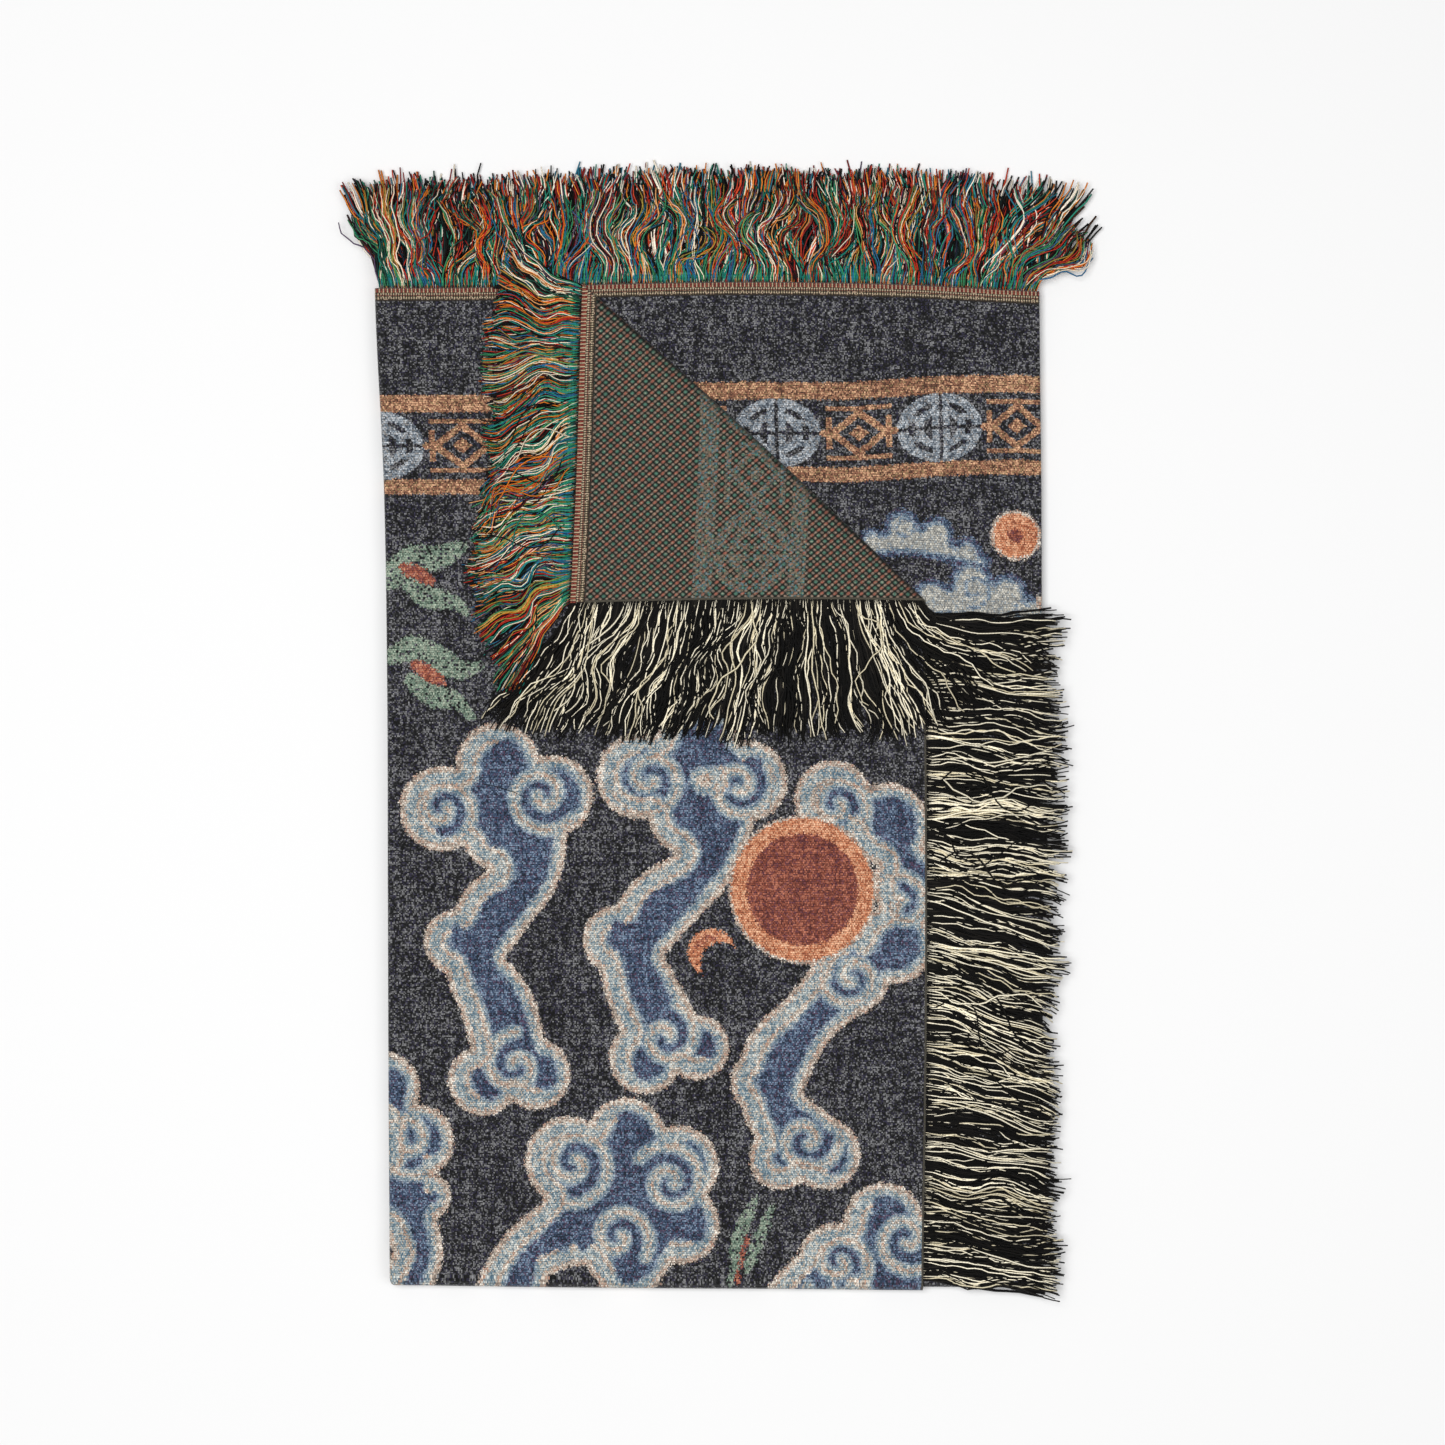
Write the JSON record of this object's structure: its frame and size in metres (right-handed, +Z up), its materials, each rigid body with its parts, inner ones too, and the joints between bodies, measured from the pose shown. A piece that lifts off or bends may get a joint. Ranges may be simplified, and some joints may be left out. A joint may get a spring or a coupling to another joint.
{
  "type": "folded tapestry throw blanket",
  "caption": "Woven throw folded flat in layers, with one corner turned down to show its back and a long yarn fringe on every edge.",
  "frame": {"origin": "under the middle of the folded throw, its fringe counted, at the surface that it lies on", "axes": "+Z up, +Y along the folded length towards the colour fringe, +X across it towards the free side edge with the cream fringe"},
  "size_m": [0.558, 0.8682, 0.0206],
  "materials": {
    "woven_cloth": "knobbly woven cotton",
    "colour_yarn": "soft twisted cotton yarn in many colours",
    "cream_yarn": "soft twisted cotton yarn in cream and black"
  },
  "bodies": {
    "root": {"woven_cloth": "woven_cloth", "colour_fringe_upper_left": "colour_yarn", "colour_fringe_upper_base": "colour_yarn", "colour_fringe_upper_right": "colour_yarn", "colour_fringe_lower_left": "colour_yarn", "colour_fringe_lower_base": "colour_yarn", "colour_fringe_lower_right": "colour_yarn", "colour_fringe_corner": "colour_yarn", "cream_fringe_corner": "cream_yarn", "cream_fringe_upper_side": "cream_yarn", "cream_fringe_lower_side": "cream_yarn", "cream_fringe_upper_inside": "cream_yarn", "cream_fringe_lower_inside": "cream_yarn"}
  },
  "joints": []
}
